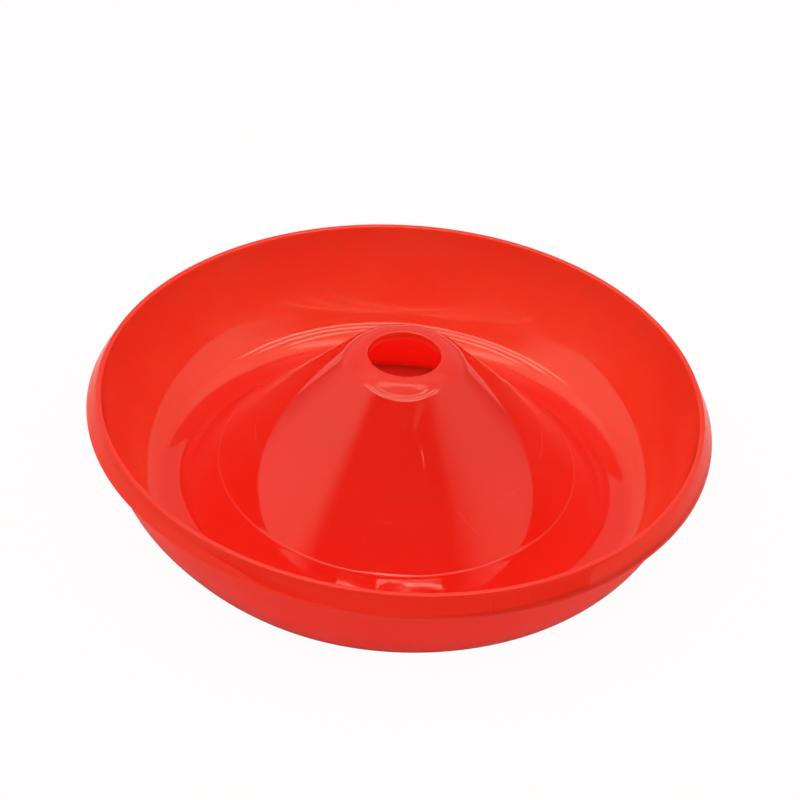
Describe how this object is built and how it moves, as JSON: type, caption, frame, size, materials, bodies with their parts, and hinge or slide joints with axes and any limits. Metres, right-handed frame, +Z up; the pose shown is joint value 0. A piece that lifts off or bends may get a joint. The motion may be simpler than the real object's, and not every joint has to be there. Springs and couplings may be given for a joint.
{
  "type": "poultry pan feeder",
  "caption": "Shallow round feed pan, moulded in one piece, with a hollow central cone open at the top, a rounded trough and a turned-down rim band.",
  "frame": {"origin": "centre of the base, on the surface that the pan stands on", "axes": "+Z up along the axis of the cone and the rim; +X and +Y are any two square directions across the pan"},
  "size_m": [0.33, 0.33, 0.0925],
  "materials": {
    "pan_plastic": "glossy red moulded polypropylene"
  },
  "bodies": {
    "root": {"feeder_pan": "pan_plastic"}
  },
  "joints": []
}
